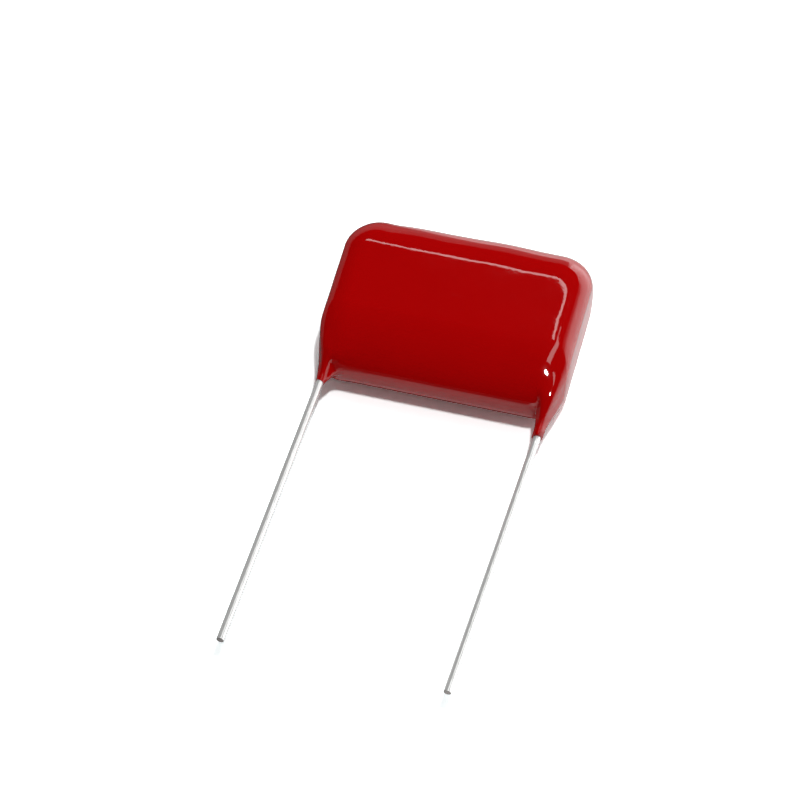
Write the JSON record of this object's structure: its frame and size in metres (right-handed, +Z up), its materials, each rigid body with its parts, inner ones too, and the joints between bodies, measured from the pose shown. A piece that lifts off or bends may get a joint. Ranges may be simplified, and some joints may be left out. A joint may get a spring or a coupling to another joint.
{
  "type": "polyester film capacitor",
  "caption": "Dipped polyester film capacitor: a rounded flat red epoxy body with two parallel tinned wire leads out of its lower edge, lying on its broad face.",
  "frame": {"origin": "on the surface that the part rests on, midway between the two leads and level with the middle of the body", "axes": "+Z up out of the broad face, +X across the leads, leads towards -Y"},
  "size_m": [0.0262, 0.0525, 0.0072],
  "materials": {
    "epoxy": "glossy dipped epoxy, deep red, slightly uneven",
    "film": "metallised film seen edge on, satin",
    "sprayed_metal": "rough sprayed zinc",
    "tinned_wire": "bright tin plating"
  },
  "bodies": {
    "root": {"epoxy_coating": "epoxy", "film_winding": "film", "end_spray_left": "sprayed_metal", "end_spray_right": "sprayed_metal", "lead_left": "tinned_wire", "lead_right": "tinned_wire"}
  },
  "joints": []
}
